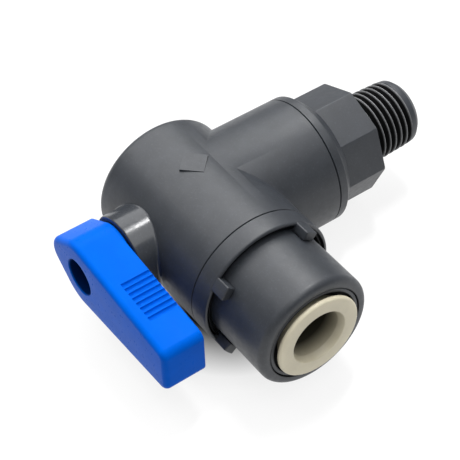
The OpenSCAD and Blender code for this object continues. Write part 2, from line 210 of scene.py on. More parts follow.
class SocketSizes(bpy.types.PropertyGroup):
    """Locking ring and nose of the tube socket"""

    ring_length: length("Ring", "Length of the locking ring", 4.0)
    ring_round: length("Ring rounding", "Rounding of the ring's outer front rim", 0.45)
    ring_band: length("Ring band", "Width of the ring's raised outer band", 0.65)
    ring_groove: length("Ring groove", "Depth of the groove behind the outer band", 1.0)
    ridge_outer: length("Ridge", "Outer radius of the thin inner ridge", 12.35)
    ridge_recess: length("Ridge recess", "How far the inner ridge is set back", 0.3)
    lip_radius: length("Lip radius", "Inner radius of the ring's lip", 12.0)
    lug_length: length("Lug length", "How far the lugs stand out of the ring", 2.8)
    lug_width: length("Lug width", "Width of a lug around the ring", 2.75)
    lug_edge: length("Lug edges", "Bevel of the lugs' edges", 0.22)
    nose_radius: length("Nose radius", "Outer radius of the nose", 11.4)
    nose_length: length("Nose length", "Barrel front to the mouth of the nose", 17.5)
    nose_round: length("Nose rounding", "Rounding of the nose's outer rim", 1.3)
    cage_bore: length("Cage bore", "Radius of the bore that holds the cage", 9.45)
    cage_chamfer: length("Cage chamfer", "Chamfer of the cage's end", 0.2)
    pocket_radius: length("Pocket", "Radius of the pocket for the collet's flange", 8.6)
    pocket_floor: length("Pocket floor", "Ball centre to the floor of the pocket", 33.55)


class ColletSizes(bpy.types.PropertyGroup):
    """Release collet"""

    flange_radius: length("Flange radius", "Outer radius of the collet's flange", 8.4)
    flange_length: length("Flange length", "Thickness of the flange", 0.95)
    flange_proud: length("Flange proud", "How far the flange stands out of the nose", 1.2)
    rim_round: length("Rim rounding", "Rounding of the flange's front rim", 0.48)
    back_round: length("Back rounding", "Rounding of the flange's back rim", 0.3)
    sleeve_radius: length("Sleeve", "Outer radius of the sleeve", 6.93)
    mouth_radius: length("Mouth", "Radius of the flared mouth", 5.5)


class LeverSizes(bpy.types.PropertyGroup):
    """Lever and its grip"""

    hub_radius: length("Hub radius", "Radius around the stem axis", 7.1)
    heel_radius: length("Heel radius", "Radius of the heel behind the hub", 3.5)
    heel_back: length("Heel back", "Heel centre behind the stem axis", 5.9)
    heel_up: length("Heel up", "Heel centre above the stem axis", 0.6)
    lever_length: length("Length", "Stem axis to the free end", 26.9)
    tip_top: length("Tip top", "Top of the free end above the stem axis", 4.3)
    tip_bottom: length("Tip bottom", "Bottom of the free end below the stem axis", 5.6)
    tip_corner: length("Tip corners", "Corner radius of the free end", 1.7)
    boss_gap: length("Boss gap", "Gap between the boss and the lever", 0.5)
    outer_edge: length("Outer edges", "Rounding of the outer edges", 1.08)
    inner_edge: length("Inner edges", "Rounding of the edges towards the valve", 0.35)
    hole_radius: length("Hole radius", "Radius of the screw hole", 3.45)
    hole_depth: length("Hole depth", "Depth of the screw hole", 4.8)
    groove_pitch: length("Groove pitch", "Spacing of the grip grooves", 1.18)
    groove_radius: length("Groove radius", "Radius of a grip groove", 0.47)
    groove_start: length("Groove start", "Stem axis to the first groove", 10.3)
    groove_margin: length("Groove margin", "Outer face to the ends of the grooves", 2.4)
    groove_count: bpy.props.IntProperty(
        name="Grooves", description="Number of grip grooves", default=8, min=1, max=12
    )


class Finishes(bpy.types.PropertyGroup):
    """Colours and gloss of the valve's materials"""

    slate: colour("Housing", "Slate-grey moulded plastic", 0.030, 0.034, 0.041)
    blue: colour("Lever", "Vivid blue moulded plastic", 0.000, 0.108, 0.620)
    blue_sheen: colour("Lever sheen", "Tint of the lever's reflections", 0.20, 0.50, 1.00)
    # Colour of the thread's crests, a painted highlight; the thread's valleys get painted shade
    thread_crest_highlight: colour("Thread crests", "Worn slate plastic", 0.200, 0.204, 0.212)
    cream: colour("Collet", "Cream acetal", 0.800, 0.735, 0.550)
    seat: colour("Seats", "Milky fluoropolymer", 0.800, 0.790, 0.740)
    rubber: colour("Seals", "Black rubber", 0.010, 0.010, 0.011)
    metal: colour("Steel", "Bright steel of the screw, teeth and ball", 0.600, 0.600, 0.620)
    slate_shine: share("Housing reflection", "Strength of the housing's reflections", 0.5)
    blue_shine: share("Lever reflection", "Strength of the lever's reflections", 0.035)
    slate_gloss: share("Housing roughness", "Roughness of the housing's surface", 0.42)
    boss_gloss: share("Boss roughness", "Roughness of the glossier stem boss", 0.20)
    blue_gloss: share("Lever roughness", "Roughness of the lever's surface", 0.30)
    cream_gloss: share("Collet roughness", "Roughness of the collet's surface", 0.36)


class StageSettings(bpy.types.PropertyGroup):
    """Floor, lights and camera"""

    floor: colour("Floor", "Pale studio floor", 0.30, 0.30, 0.30)
    sky: number("Sky", "Strength of the white surroundings", 0.45, low=0)
    floor_glow: number("Floor glow", "How much the floor shines like a light table", 0.65, low=0)
    bounce: number("Bounce", "Light that the floor throws back at the valve", 0.7, low=0)
    azimuth: bearing("Azimuth", "Camera angle round the valve", 55.803)
    elevation: bearing("Elevation", "Camera angle above the horizon", 46.105)
    roll: bearing("Roll", "Turn of the camera about its own axis", -2.184)
    distance: length("Distance", "Camera to the ball centre, along its view", 259.24)
    aside: length("Aside", "Camera offset to its right", 6.038)
    lower: length("Lower", "Camera offset downwards", 2.656)
    lens: number("Lens", "Focal length in millimetres", 110.7, low=1)


# Modelling helpers


def along(axis):
    """Matrix that turns a shape drawn along +Z to point along one of the valve's axes."""
    turn = {
        OUTLET: Matrix.Rotation(math.radians(90), 4, "Y"),
        INLET: Matrix.Rotation(math.radians(-90), 4, "X"),
        LEVER: Matrix.Rotation(math.radians(90), 4, "X"),
    }
    return turn[axis]


def soften(corners, steps=6):
    """Profile whose corners (radius, place, rounding) become arcs of (radius, place) points."""
    outline = []
    count = len(corners)
    for i, (r, place, rounding) in enumerate(corners):
        here = Vector((r, place))
        if rounding <= 0:
            outline.append(here)
            continue
        back = (Vector(corners[i - 1][:2]) - here).normalized()
        ahead = (Vector(corners[(i + 1) % count][:2]) - here).normalized()
        half = back.angle(ahead) / 2
        reach = rounding / math.tan(half)
        centre = here + (back + ahead).normalized() * rounding / math.sin(half)
        start, end = here + back * reach - centre, here + ahead * reach - centre
        sweep = start.angle_signed(end)
        for step in range(steps + 1):
            turn = -sweep * step / steps
            c, s = math.cos(turn), math.sin(turn)
            outline.append(centre + Vector((start.x * c - start.y * s, start.x * s + start.y * c)))
    return outline


def spin_round(bm, outline, segments):
    """Spins a closed profile about the z axis."""
    ring = [bm.verts.new((p.x, 0, p.y)) for p in outline]
    edges = [bm.edges.new((ring[i - 1], ring[i])) for i in range(len(ring))]
    bmesh.ops.spin(
        bm,
        geom=ring + edges,
        cent=(0, 0, 0),
        axis=Z,
        angle=math.tau,
        steps=segments,
        use_merge=True,
        use_duplicate=False,
    )
    bmesh.ops.remove_doubles(bm, verts=bm.verts, dist=1e-7)


def prism(bm, radius, start, end, segments=144, radius_end=None):
    """Capped cylinder or cone along z; returns its vertices."""
    made = bmesh.ops.create_cone(
        bm,
        cap_ends=True,
        cap_tris=False,
        segments=segments,
        radius1=radius,
        radius2=radius if radius_end is None else radius_end,
        depth=end - start,
    )["verts"]
    bmesh.ops.translate(bm, verts=made, vec=(0, 0, (start + end) / 2))
    return made


def turned(build, axis):
    """New bmesh that build fills along z, turned to one of the valve's axes."""
    bm = bmesh.new()
    build(bm)
    bmesh.ops.transform(bm, matrix=along(axis), verts=bm.verts)
    bmesh.ops.recalc_face_normals(bm, faces=bm.faces)
    return bm


def lathed(axis, corners, steps=6, segments=160):
    """New bmesh of a profile of (radius, place, rounding) corners, spun about one of the axes."""
    return turned(lambda bm: spin_round(bm, soften(corners, steps), segments), axis)


def rod(axis, radius, start, end):
    """New bmesh of a cylinder on one of the valve's axes."""
    return turned(lambda bm: prism(bm, radius, start, end), axis)


def box_of(bm, size, centre):
    """Adds a box; returns its vertices."""
    made = bmesh.ops.create_cube(bm, size=1)["verts"]
    bmesh.ops.scale(bm, vec=size, verts=made)
    bmesh.ops.translate(bm, vec=centre, verts=made)
    return made


def turn_round(bm, angle, axis, verts):
    """Turns vertices about one of the frame's axes, by an angle in radians."""
    bmesh.ops.rotate(bm, matrix=Matrix.Rotation(angle, 3, axis), verts=verts)


def round_edges(bm, edges, offset, segments, **more):
    """Rounds the edges with a bevel of some segments."""
    bmesh.ops.bevel(
        bm,
        geom=edges,
        offset=offset,
        segments=segments,
        profile=0.5,
        affect="EDGES",
        material=-1,
        **more,
    )


def solid(name, bm):
    """Object holding the bmesh."""
    mesh = bpy.data.meshes.new(name)
    bm.to_mesh(mesh)
    bm.free()
    piece = bpy.data.objects.new(name, mesh)
    bpy.context.scene.collection.objects.link(piece)
    return piece


def combine(piece, bm, operation):
    """Joins, cuts or intersects the piece with the shape in bm, and applies that to its mesh."""
    tool = solid(piece.name + "_tool", bm)
    step = piece.modifiers.new("step", "BOOLEAN")
    step.operation = operation
    step.solver = "EXACT"
    step.object = tool
    bpy.context.view_layer.update()
    seen = piece.evaluated_get(bpy.context.evaluated_depsgraph_get())
    mesh = bpy.data.meshes.new_from_object(seen)
    piece.modifiers.clear()
    piece.data = mesh
    bpy.data.objects.remove(tool)


def absorb(piece, *others):
    """Adds the meshes of other pieces to this one, without cutting."""
    bm = bmesh.new()
    bm.from_mesh(piece.data)
    for other in others:
        bm.from_mesh(other.data)
        bpy.data.objects.remove(other)
    bm.to_mesh(piece.data)
    bm.free()


def finish_piece(piece, body, slot, material, *replaced, angle=32):
    """Smooths the piece, gives it its material and puts it on its body."""
    piece.data.materials.clear()
    piece.data.materials.append(material)
    piece.data.shade_smooth()
    piece.data.set_sharp_from_angle(angle=math.radians(angle))
    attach(piece, body)
    if replaced:
        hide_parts(*replaced)


def finish_housing(piece, finish, *replaced, angle=32):
    """Finishes a piece of the fixed housing, in one of the slate finishes."""
    finish_piece(piece, "housing", "housing_plastic", finish_of(finish), *replaced, angle=angle)


# Materials


def plain_material(name, base, roughness):
    """New material with its shader, its colour and its Object coordinates."""
    material = bpy.data.materials.new(name)
    material.use_nodes = True
    nodes = material.node_tree.nodes
    shader = nodes["Principled BSDF"]
    shader.inputs["Base Color"].default_value = (*base, 1)
    shader.inputs["Roughness"].default_value = roughness
    coordinates = nodes.new("ShaderNodeTexCoord")
    return material, shader, coordinates.outputs["Object"]


def noise(material, place, size, detail=3.0, roughness=0.55, stretch=None):
    """Noise whose features are about size metres across; returns its factor."""
    nodes, links = material.node_tree.nodes, material.node_tree.links
    if stretch is not None:
        mapping = nodes.new("ShaderNodeMapping")
        mapping.inputs["Scale"].default_value = stretch
        links.new(place, mapping.inputs["Vector"])
        place = mapping.outputs["Vector"]
    texture = nodes.new("ShaderNodeTexNoise")
    texture.inputs["Scale"].default_value = 1 / size
    texture.inputs["Detail"].default_value = detail
    texture.inputs["Roughness"].default_value = roughness
    links.new(place, texture.inputs["Vector"])
    return texture.outputs["Fac"]


def remap(material, value, low, high, start, end):
    """Linear change of a factor from low..high to start..end."""
    node = material.node_tree.nodes.new("ShaderNodeMapRange")
    node.inputs["From Min"].default_value = low
    node.inputs["From Max"].default_value = high
    node.inputs["To Min"].default_value = start
    node.inputs["To Max"].default_value = end
    material.node_tree.links.new(value, node.inputs["Value"])
    return node.outputs["Result"]


def spread(material, value, start, end):
    """Change of a noise factor's usual range to start..end."""
    return remap(material, value, NOISE_LOW, NOISE_HIGH, start, end)


def blend_colours(material, factor, first, second):
    """Mix of two colours, or of a socket and a colour, by a factor."""
    node = material.node_tree.nodes.new("ShaderNodeMix")
    node.data_type = "RGBA"
    material.node_tree.links.new(factor, node.inputs["Factor"])
    for socket, value in ((node.inputs["A"], first), (node.inputs["B"], second)):
        if isinstance(value, bpy.types.NodeSocket):
            material.node_tree.links.new(value, socket)
        else:
            socket.default_value = (*value, 1)
    return node.outputs["Result"]


def roughen(material, shader, heights, strength, distance):
    """Chains bump nodes over the given heights into the shader's normal."""
    nodes, links = material.node_tree.nodes, material.node_tree.links
    normal = None
    for height in heights:
        bump = nodes.new("ShaderNodeBump")
        bump.inputs["Strength"].default_value = strength
        bump.inputs["Distance"].default_value = distance
        links.new(height, bump.inputs["Height"])
        if normal is not None:
            links.new(normal, bump.inputs["Normal"])
        normal = bump.outputs["Normal"]
    links.new(normal, shader.inputs["Normal"])


def reach_of(material, place, scale, offset=(0, 0, 0)):
    """Length of the Object coordinates after scaling, as a shader value."""
    nodes, links = material.node_tree.nodes, material.node_tree.links
    mapping = nodes.new("ShaderNodeMapping")
    mapping.inputs["Location"].default_value = offset
    mapping.inputs["Scale"].default_value = scale
    links.new(place, mapping.inputs["Vector"])
    reach = nodes.new("ShaderNodeVectorMath")
    reach.operation = "LENGTH"
    links.new(mapping.outputs["Vector"], reach.inputs[0])
    return reach.outputs["Value"]


def scaled(base, factor):
    """Colour made lighter or darker by a factor."""
    return tuple(min(1.0, c * factor) for c in base)


def moulded_plastic(
    name, base, roughness, mottle, grain, fleck=0, shine=0.5, sheen=(1, 1, 1), painted_shade=None
):
    """Injection-moulded plastic: cloudy tone, fine grain and uneven gloss.

    The last argument is painted shade, given as (scale, near, far, share): colour and reflection
    fall to that share where the scaled Object coordinates are shorter than near.
    """
    material, shader, place = plain_material(name, base, roughness)
    shader.inputs["Specular IOR Level"].default_value = shine
    shader.inputs["Specular Tint"].default_value = (*sheen, 1)
    cloud = noise(material, place, 3.2 * MM, detail=4)
    streak = noise(material, place, 1.1 * MM, detail=2)
    tone = spread(material, cloud, 0, 1)
    mixed = blend_colours(material, tone, scaled(base, 1 - mottle), scaled(base, 1 + mottle))
    if fleck > 0:
        dots = noise(material, place, 0.45 * MM, detail=2, roughness=0.7)
        lit = remap(material, dots, 0.56, 0.74, 0, fleck)
        mixed = blend_colours(material, lit, mixed, scaled(base, 1.9))
    links = material.node_tree.links
    # Painted shade: darker colour and weaker reflection inside the given reach
    if painted_shade is not None:
        scale, near, far, left = painted_shade
        reach = reach_of(material, place, scale)
        outside_painted_shade = remap(material, reach, near, far, 0, 1)
        mixed = blend_colours(material, outside_painted_shade, scaled(base, left), mixed)
        shown = remap(material, reach, near, far, shine * left, shine)
        links.new(shown, shader.inputs["Specular IOR Level"])
    links.new(mixed, shader.inputs["Base Color"])
    gloss = spread(material, streak, roughness - 0.04, roughness + 0.06)
    links.new(gloss, shader.inputs["Roughness"])
    if grain > 0:
        fine = noise(material, place, 0.5 * MM, detail=3, roughness=0.6)
        broad = noise(material, place, 1.6 * MM, detail=2)
        roughen(material, shader, [broad, fine], 0.35, grain)
    return material


def glowing_paper(name, base, roughness, edge, strength):
    """Paper that shines outside the valve's footprint; edge is where it shines in full. On the seen
    floor, the fading glow under the valve is a painted shadow.
    """
    material, shader, place = plain_material(name, base, roughness)
    shader.inputs["Emission Color"].default_value = (1, 1, 1, 1)
    footprint = reach_of(material, place, FOOTPRINT_SCALE, FOOTPRINT_OFFSET)
    glow = remap(material, footprint, FOOTPRINT_CORE, edge, 0, strength)
    material.node_tree.links.new(glow, shader.inputs["Emission Strength"])
    return material, shader, place


def turned_metal(name, base, roughness):
    """Bright metal with faint turning marks and uneven polish."""
    material, shader, place = plain_material(name, base, roughness)
    shader.inputs["Metallic"].default_value = 1.0
    marks = noise(material, place, 0.25 * MM, detail=4, stretch=(1, 1, 8))
    gloss = spread(material, marks, roughness - 0.05, roughness + 0.1)
    material.node_tree.links.new(gloss, shader.inputs["Roughness"])
    roughen(material, shader, [marks], 0.2, 4e-6)
    return material


def seal_rubber(name, base):
    """Black rubber with a matt, slightly dusty skin."""
    material, shader, place = plain_material(name, base, 0.62)
    dust = noise(material, place, 0.5 * MM, detail=5)
    lit = remap(material, dust, 0.5, 0.75, 0, 0.5)
    mixed = blend_colours(material, lit, base, scaled(base, 3.5))
    material.node_tree.links.new(mixed, shader.inputs["Base Color"])
    roughen(material, shader, [dust], 0.4, 8e-6)
    return material


def finish_of(name):
    """Material of one finish, made once and shared.

    The painted shades' reaches lie just inside and outside the wall that they darken with
    painted shade: the ring's groove, the nose's bore, the cage's pocket, the thread's flanks
    (0.079 keeps the reach level along the taper), the lever's screw hole and the collet's bore.
    The thread's lighter crest colour is a painted highlight.
    """
    if name in FINISHES:
        return FINISHES[name]
    look = bpy.context.scene.valve_finishes

    def slate_plastic(base=look.slate, gloss=look.slate_gloss, painted_shade=None):
        return moulded_plastic(
            name,
            base,
            gloss,
            mottle=0.10,
            grain=24e-6,
            fleck=0.45,
            shine=look.slate_shine,
            painted_shade=painted_shade,
        )

    makers = {
        "housing_plastic": slate_plastic,
        "boss_plastic": lambda: slate_plastic(gloss=look.boss_gloss),
        # Painted shade in the ring's groove, the nose's bore and the cage's pocket
        "ring_plastic": lambda: slate_plastic(painted_shade=((0, 1, 1), 12.5 * MM, 12.95 * MM, 0.12)),
        "nose_plastic": lambda: slate_plastic(painted_shade=((0, 1, 1), 9.46 * MM, 9.66 * MM, 0.1)),
        "cage_plastic": lambda: slate_plastic(painted_shade=((0, 1, 1), 8.62 * MM, 8.82 * MM, 0.1)),
        # Painted highlight on the thread's crests and painted shade in its valleys
        "thread_plastic": lambda: slate_plastic(
            look.thread_crest_highlight, painted_shade=((1, 0.079, 1), 7.38 * MM, 7.65 * MM, 0.035)
        ),
        "lever_plastic": lambda: moulded_plastic(
            name,
            look.blue,
            look.blue_gloss,
            mottle=0.05,
            grain=0,
            shine=look.blue_shine,
            sheen=look.blue_sheen,
            # Painted shade in the screw hole
            painted_shade=((1, 0, 1), 3.5 * MM, 3.8 * MM, 0.12),
        ),
        "collet_plastic": lambda: moulded_plastic(
            name,
            look.cream,
            look.cream_gloss,
            mottle=0.05,
            grain=3e-6,
            # Painted shade deeper in the collet's bore
            painted_shade=((1, 1, 1), 32.2 * MM, 37.7 * MM, 0.06),
        ),
        "seat_plastic": lambda: moulded_plastic(name, look.seat, 0.45, mottle=0.03, grain=6e-6),
        "seal_rubber": lambda: seal_rubber(name, look.rubber),
        "ball_metal": lambda: turned_metal(name, look.metal, 0.14),
        "screw_steel": lambda: turned_metal(name, look.metal, 0.28),
    }
    FINISHES[name] = makers[name]()
    return FINISHES[name]


# Pieces


def crease_fillet(bm, main_radius, side_radius, fillet, side, steps=240, arcs=7):
    """Rolling-ball fillet where a side cylinder along y leaves a main cylinder along x.

    The last ring closes the fillet inside the crease, where it doesn't show.
    """
    reach = side_radius + fillet
    inwards = -0.3
    rings = []
    for k in range(arcs + 1):
        loop = bmesh.ops.create_circle(bm, cap_ends=False, segments=steps, radius=1)["verts"]
        for vertex in loop:
            angle = math.atan2(vertex.co.y, vertex.co.x)
            x = reach * math.cos(angle)
            z = reach * math.sin(angle)
            y = side * math.sqrt((main_radius + fillet) ** 2 - z * z)
            centre = Vector((x, y, z))
            on_side = Vector((x, 0, z)).normalized() * side_radius + Vector((0, y, 0))
            on_main = Vector((0, y, z)).normalized() * main_radius + Vector((x, 0, 0))
            if k == arcs:
                crease = side * math.sqrt(max(0, main_radius**2 - (z * side_radius / reach) ** 2))
                vertex.co = Vector((on_side.x, crease, on_side.z)).lerp(centre, inwards)
                continue
            start, end = (on_side - centre).normalized(), (on_main - centre).normalized()
            vertex.co = centre + start.slerp(end, k / (arcs - 1)) * fillet
        rings.append(loop)
    for first, second in zip(rings, rings[1:] + rings[:1]):
        edges = [e for e in bm.edges if all(v in first for v in e.verts)]
        edges += [e for e in bm.edges if all(v in second for v in e.verts)]
        bmesh.ops.bridge_loops(bm, edges=edges)
    bmesh.ops.recalc_face_normals(bm, faces=bm.faces)


class VALVE_OT_dress_housing(bpy.types.Operator):
    """Build the housing with its chamfered seams and filleted roots"""

    bl_idname = "valve.dress_housing"
    bl_label = "Housing"

    def execute(self, context):
        size = context.scene.valve_housing
        chamfer, depth = size.seam_chamfer, size.seam_depth
        piece = solid("housing", lathed(OUTLET, [
            (0, -size.barrel_back, 0),
            (size.barrel_radius, -size.barrel_back, size.rear_round),
            (size.barrel_radius, size.barrel_front - chamfer, 0),
            (size.barrel_radius - depth, size.barrel_front, 0),
            (0, size.barrel_front, 0),
        ], steps=10, segments=192))
        combine(piece, lathed(INLET, [
            (0, 0, 0),
            (size.branch_radius, 0, 0),
            (size.branch_radius, size.branch_length - chamfer, 0),
            (size.branch_radius - depth, size.branch_length, 0),
            (0, size.branch_length, 0),
        ], segments=192), "UNION")
        diamond = bmesh.new()
        side = size.pad_diagonal / math.sqrt(2)
        top = size.barrel_radius + size.pad_rise
        made = box_of(diamond, (side, side, top), (0, 0, top / 2))
        turn_round(diamond, math.radians(45), "Z", made)
        combine(piece, diamond, "UNION")
        for axis, radius, start, end in HOUSING_BORES:
            combine(piece, rod(axis, radius * MM, start * MM, end * MM), "DIFFERENCE")
        finish_housing(piece, "housing_plastic", "body")

        fillet = bmesh.new()
        crease_fillet(fillet, size.barrel_radius, size.branch_radius, size.crease_fillet, 1)
        finish_housing(solid("branch_fillet", fillet), "housing_plastic")
        boss = solid("stem_boss", lathed(LEVER, [
            (STEM_HOLE, BOSS_ROOT, 0),
            (size.boss_radius, BOSS_ROOT, 0),
            (size.boss_radius, size.boss_length, 0.25 * MM),
            (STEM_HOLE, size.boss_length, 0),
        ], segments=128))
        finish_housing(boss, "boss_plastic")
        fillet = bmesh.new()
        crease_fillet(fillet, size.barrel_radius, size.boss_radius, size.boss_fillet, -1, steps=160)
        finish_housing(solid("boss_fillet", fillet), "boss_plastic")
        return {"FINISHED"}


class VALVE_OT_make_inlet_fitting(bpy.types.Operator):
    """Build the inlet fitting: flange, bevelled octagon and tapered thread"""

    bl_idname = "valve.make_inlet_fitting"
    bl_label = "Inlet fitting"

    def execute(self, context):
        size = context.scene.valve_inlet
        housing = context.scene.valve_housing
        branch_end = housing.branch_length
        flange_end = branch_end + size.flange_length
        shoulder_end = flange_end + size.shoulder_length
        octagon_end = flange_end + size.octagon_length
        thread_end = octagon_end + size.thread_length
        lead_start = thread_end - size.lead_length
        core = size.thread_crest - size.thread_depth - 0.4 * MM
        lead_crest = size.thread_crest - (lead_start - octagon_end) * size.thread_taper
        corner = size.octagon_flats / 2 / math.cos(math.pi / 8)
        overlap = 0.3 * MM
        plug, collar = 8.35 * MM, 10.35 * MM

        def octagon(bm):
            made = prism(bm, corner, flange_end - overlap, octagon_end, segments=8)
            turn_round(bm, size.octagon_turn, "Z", made)
            long_edges = [e for e in bm.edges if abs((e.verts[0].co - e.verts[1].co).z) > MM]
            round_edges(bm, long_edges, size.octagon_edge, 4)

        def octagon_cone(bm):
            end_radius, slant = corner - size.octagon_chamfer, 14 * MM
            prism(bm, end_radius + slant, octagon_end - slant, octagon_end, 192, end_radius)

        def thread(bm):
            pitch, crest = size.thread_pitch, size.thread_crest
            valley, shoulder = crest - size.thread_depth, crest - CREST_DROP
            profile = [
                (valley, 0.0),
                (valley, 0.06),
                (shoulder, 0.45),
                (crest, 0.49),
                (crest, 0.58),
                (shoulder, 0.62),
                (valley, 1.0),
            ]
            start = octagon_end - 2 * pitch
            chain = [bm.verts.new((r, 0, start + share_of * pitch)) for r, share_of in profile]
            edges = [bm.edges.new(pair) for pair in zip(chain, chain[1:])]
            bmesh.ops.spin(
                bm,
                geom=chain + edges,
                cent=(0, 0, 0),
                axis=Z,
                dvec=(0, 0, pitch / THREAD_STEPS),
                angle=math.tau * THREAD_TURNS,
                steps=THREAD_TURNS * THREAD_STEPS,
                use_merge=False,
                use_duplicate=False,
            )
            bmesh.ops.remove_doubles(bm, verts=bm.verts, dist=5e-6)
            for plane, outwards in ((octagon_end - overlap, -1), (lead_start + 0.02 * MM, 1)):
                bmesh.ops.bisect_plane(
                    bm,
                    geom=bm.verts[:] + bm.edges[:] + bm.faces[:],
                    plane_co=(0, 0, plane),
                    plane_no=(0, 0, outwards),
                    clear_outer=True,
                )
            for vertex in bm.verts:
                shrink = (vertex.co.z - octagon_end) * size.thread_taper
                flat = Vector((vertex.co.x, vertex.co.y, 0))
                vertex.co -= flat.normalized() * shrink

        piece = solid("inlet_fitting", lathed(INLET, [
            (SEAT_RADIUS, PLUG_END, 0),
            (plug, PLUG_END, 0),
            (plug, PLUG_STEP, 0),
            (collar, PLUG_STEP, 0),
            (collar, branch_end, 0),
            (housing.branch_radius - housing.seam_depth, branch_end, 0),
            (housing.branch_radius, branch_end + housing.seam_chamfer, 0),
            (housing.branch_radius, flange_end, size.flange_round),
            (corner - 0.15 * MM, shoulder_end, 0.3 * MM),
            (core, shoulder_end, 0),
            (core, lead_start, 0),
            (lead_crest - 0.05 * MM, lead_start, 0.1 * MM),
            (lead_crest - 0.20 * MM, lead_start + 1.3 * MM, 0.4 * MM),
            (lead_crest - 1.1 * MM, thread_end, 0.25 * MM),
            (size.bore_radius, thread_end, 0.25 * MM),
            (size.bore_radius, SEAT_FLOOR, 0),
            (SEAT_RADIUS, SEAT_FLOOR, 0),
        ]))
        nut = solid("octagon", turned(octagon, INLET))
        combine(nut, turned(octagon_cone, INLET), "INTERSECT")
        combine(nut, rod(INLET, core - 0.1 * MM, 20 * MM, 40 * MM), "DIFFERENCE")
        absorb(piece, nut)
        finish_housing(piece, "housing_plastic", "inlet_adapter", angle=24)
        finish_housing(solid("inlet_thread", turned(thread, INLET)), "thread_plastic", angle=24)
        return {"FINISHED"}


class VALVE_OT_make_locking_ring(bpy.types.Operator):
    """Build the locking ring with its recessed lip and bevelled lugs"""

    bl_idname = "valve.make_locking_ring"
    bl_label = "Locking ring"

    def execute(self, context):
        size = context.scene.valve_socket
        housing = context.scene.valve_housing
        start, outer = housing.barrel_front, housing.barrel_radius
        end = start + size.ring_length
        band, groove = outer - size.ring_band, end - size.ring_groove
        ridge = end - size.ridge_recess
        weld, rebate = outer - 0.9 * MM, start + 1.9 * MM

        def lug(bm, angle):
            inner, top = size.nose_radius + 0.15 * MM, outer - 0.05 * MM
            back, front = end - 1.2 * MM, end + size.lug_length
            centre = ((top + inner) / 2, 0, (front + back) / 2)
            box_of(bm, (top - inner, size.lug_width, front - back), centre)
            round_edges(bm, bm.edges[:], size.lug_edge, 4)
            across = [e for e in bm.edges if abs((e.verts[0].co - e.verts[1].co).y) > MM]
            bmesh.ops.subdivide_edges(bm, edges=across, cuts=7, use_grid_fill=True)
            for vertex in bm.verts:
                radius, turn = vertex.co.x, vertex.co.y / outer
                vertex.co.x, vertex.co.y = radius * math.cos(turn), radius * math.sin(turn)
            turn_round(bm, math.radians(angle + 90), "Z", bm.verts)

        piece = solid("locking_collar", lathed(OUTLET, [
            (outer - housing.seam_depth, start, 0),
            (outer, start + housing.seam_chamfer, 0),
            (outer, end, size.ring_round),
            (band, end, SMALL_ROUND),
            (band, groove, 0),
            (size.ridge_outer, groove, 0),
            (size.ridge_outer, ridge, SMALL_ROUND),
            (size.lip_radius, ridge, SMALL_ROUND),
            (size.lip_radius, rebate, 0),
            (weld, rebate, 0),
            (weld, start, 0),
        ], segments=192))
        finish_housing(piece, "ring_plastic", "locking_ring", angle=40)
        first, *others = [
            solid("ring_lugs", turned(lambda bm: lug(bm, angle), OUTLET)) for angle in LUG_ANGLES
        ]
        absorb(first, *others)
        finish_housing(first, "housing_plastic", angle=40)
        return {"FINISHED"}


class VALVE_OT_make_tube_nose(bpy.types.Operator):
    """Build the nose of the tube socket and the cage inside it"""

    bl_idname = "valve.make_tube_nose"
    bl_label = "Tube nose and cage"

    def execute(self, context):
        size = context.scene.valve_socket
        start = context.scene.valve_housing.barrel_front
        mouth = start + size.nose_length
        plug, collar = 8.15 * MM, 10.55 * MM
        flange, flange_end = 12.4 * MM, start + 1.8 * MM
        nose = solid("tube_nose", lathed(OUTLET, [
            (SEAT_RADIUS, PLUG_END, 0),
            (plug, PLUG_END, 0),
            (plug, PLUG_STEP, 0),
            (collar, PLUG_STEP, 0),
            (collar, start, 0),
            (flange, start, 0),
            (flange, flange_end, 0),
            (size.nose_radius, flange_end, 0),
            (size.nose_radius, mouth, size.nose_round),
            (size.cage_bore, mouth, SMALL_ROUND),
            (size.cage_bore, CAGE_START, 0),
            (SEAL_RADIUS, CAGE_START, 0),
            (SEAL_RADIUS, SEAL_FLOOR, 0),
            (TUBE_RADIUS, SEAL_FLOOR, 0),
            (TUBE_RADIUS, TUBE_STOP, 0),
            (PASSAGE_RADIUS, TUBE_STOP, 0),
            (PASSAGE_RADIUS, SEAT_FLOOR, 0),
            (SEAT_RADIUS, SEAT_FLOOR, 0),
        ], steps=10, segments=192))
        finish_housing(nose, "nose_plastic", "tube_socket")

        outer, end = size.cage_bore - 0.05 * MM, mouth - 0.1 * MM
        cone, guide = 7.78 * MM, 7.03 * MM
        cage = solid("cage_ring", lathed(OUTLET, [
            (cone, CAGE_START, 0),
            (outer, CAGE_START, 0),
            (outer, end - size.cage_chamfer, 0),
            (outer - size.cage_chamfer, end, 0.06 * MM),
            (size.pocket_radius, end, 0.08 * MM),
            (size.pocket_radius, size.pocket_floor, 0.1 * MM),
            (guide, size.pocket_floor, 0),
            (guide, CONE_END, 0),
            (cone, CONE_START, 0),
        ]))
        finish_housing(cage, "cage_plastic", "collet_cage")
        return {"FINISHED"}


